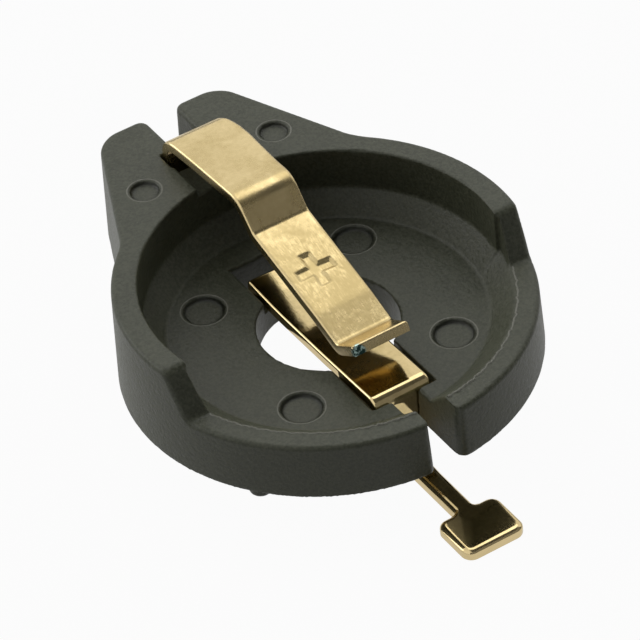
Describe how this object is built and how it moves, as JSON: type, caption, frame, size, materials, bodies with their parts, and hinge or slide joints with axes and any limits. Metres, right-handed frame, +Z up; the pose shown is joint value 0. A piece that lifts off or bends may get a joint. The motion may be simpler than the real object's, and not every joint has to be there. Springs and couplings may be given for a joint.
{
  "type": "coin cell holder",
  "caption": "Surface-mount holder for a coin cell: a round moulded pocket with a low front wall and rear wings, a sprung strip over it and a flat blade under the cell.",
  "frame": {"origin": "on the circuit board, in the middle of the line between the outer ends of the two solder pads", "axes": "+X along the board towards the negative pad and the low front wall, +Y across the strip, +Z up from the board out of the pocket"},
  "size_m": [0.0234, 0.0148, 0.0068],
  "materials": {
    "housing": "matte moulded, dark warm grey",
    "positive_metal": "satin, pale gold plating",
    "negative_metal": "bright, pale gold plating"
  },
  "bodies": {
    "root": {"base": "housing", "positive_contact": "positive_metal", "negative_contact": "negative_metal"}
  },
  "joints": []
}
